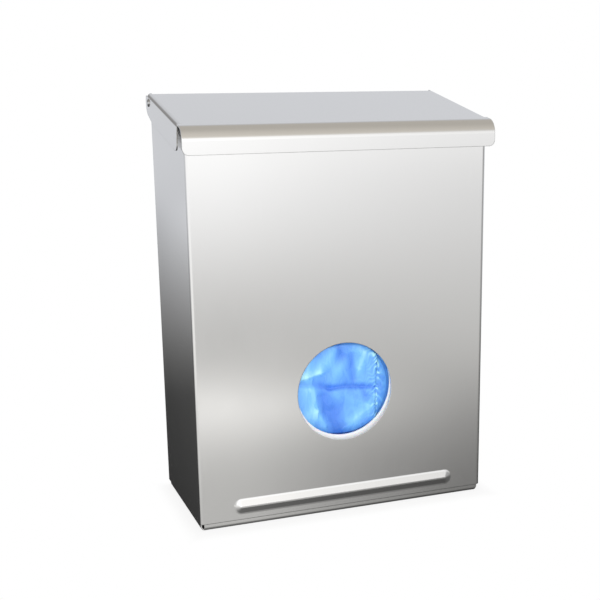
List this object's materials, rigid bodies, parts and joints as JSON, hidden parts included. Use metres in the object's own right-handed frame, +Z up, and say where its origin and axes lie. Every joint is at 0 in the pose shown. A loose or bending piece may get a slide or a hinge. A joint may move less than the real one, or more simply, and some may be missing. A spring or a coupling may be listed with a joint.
{
  "type": "tampon and pad dispenser",
  "caption": "Wall box in stainless sheet steel with a hinged sloping lid, from which wrapped pads are taken through a round hole in the front.",
  "frame": {"origin": "middle of the base, at floor level, halfway between the wall and the front of the lid", "axes": "+X to the right of someone facing the front, +Y towards the wall, +Z up"},
  "size_m": [0.2386, 0.1166, 0.3145],
  "materials": {
    "stainless": "satin",
    "bin_plastic": "satin",
    "bush_plastic": "matte",
    "bumper_rubber": "matte",
    "packet_film": "gloss"
  },
  "bodies": {
    "box": {"front_shell": "stainless", "base_tray": "stainless", "back_panel": "stainless", "hinge_pin_left": "stainless", "hinge_pin_right": "stainless", "spacer_bush_left": "bush_plastic", "spacer_bush_right": "bush_plastic", "lid_bumper_left": "bumper_rubber", "lid_bumper_right": "bumper_rubber", "inner_bin": "bin_plastic", "front_packet": "packet_film", "left_packet_1": "packet_film", "left_packet_2": "packet_film", "left_packet_3": "packet_film", "left_packet_4": "packet_film", "left_packet_5": "packet_film", "right_packet_1": "packet_film", "right_packet_2": "packet_film", "right_packet_3": "packet_film", "right_packet_4": "packet_film", "right_packet_5": "packet_film", "upper_left_packet_1": "packet_film", "upper_left_packet_2": "packet_film", "upper_left_packet_3": "packet_film", "upper_right_packet_1": "packet_film", "upper_right_packet_2": "packet_film", "upper_right_packet_3": "packet_film"},
    "lid": {"lid": "stainless"}
  },
  "joints": [
    {"name": "lid_hinge", "type": "hinge", "parent": "box", "child": "lid", "pos_m": [0, 0.0478, 0.30739], "axis": [-1, 0, 0], "range_deg": [0, 102]}
  ]
}
